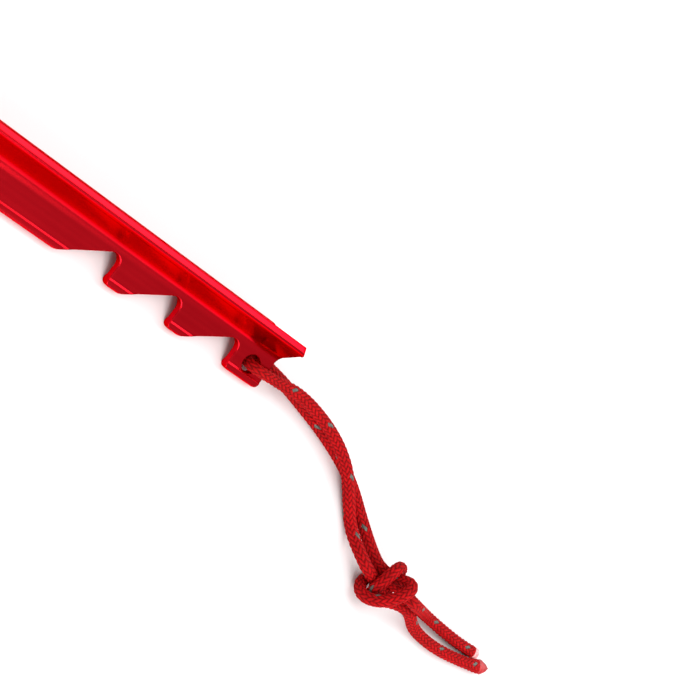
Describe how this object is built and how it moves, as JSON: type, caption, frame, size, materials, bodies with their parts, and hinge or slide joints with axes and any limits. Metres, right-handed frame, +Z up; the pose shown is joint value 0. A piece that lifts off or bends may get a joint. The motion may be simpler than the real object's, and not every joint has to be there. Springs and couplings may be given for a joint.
{
  "type": "tent stake",
  "caption": "Y-section metal tent stake with a row of hooked guyline notches in one fin and a knotted pull cord through its head.",
  "frame": {"origin": "on the ground under the middle of the stake, which lies on two of its three fins", "axes": "+X along the stake towards its head, +Z up, notched fin down towards -Y"},
  "size_m": [0.2744, 0.0425, 0.0128],
  "materials": {
    "red_anodised": "satin anodised",
    "red_cord": "braided polyester with a reflective tracer",
    "melted_cord": "melted polyester"
  },
  "bodies": {
    "stake": {"stake_body": "red_anodised"},
    "pull_cord": {"cord_loop": "red_cord", "cord_knot": "red_cord", "long_tail": "red_cord", "short_tail": "red_cord", "long_tail_melted_tip": "melted_cord", "short_tail_melted_tip": "melted_cord"}
  },
  "joints": [
    {"name": "cord_swing", "type": "hinge", "parent": "stake", "child": "pull_cord", "pos_m": [0.0854, -0.0039, 0.00242], "axis": [0, -0.5, 0.866], "range_deg": [-100, 15]}
  ]
}
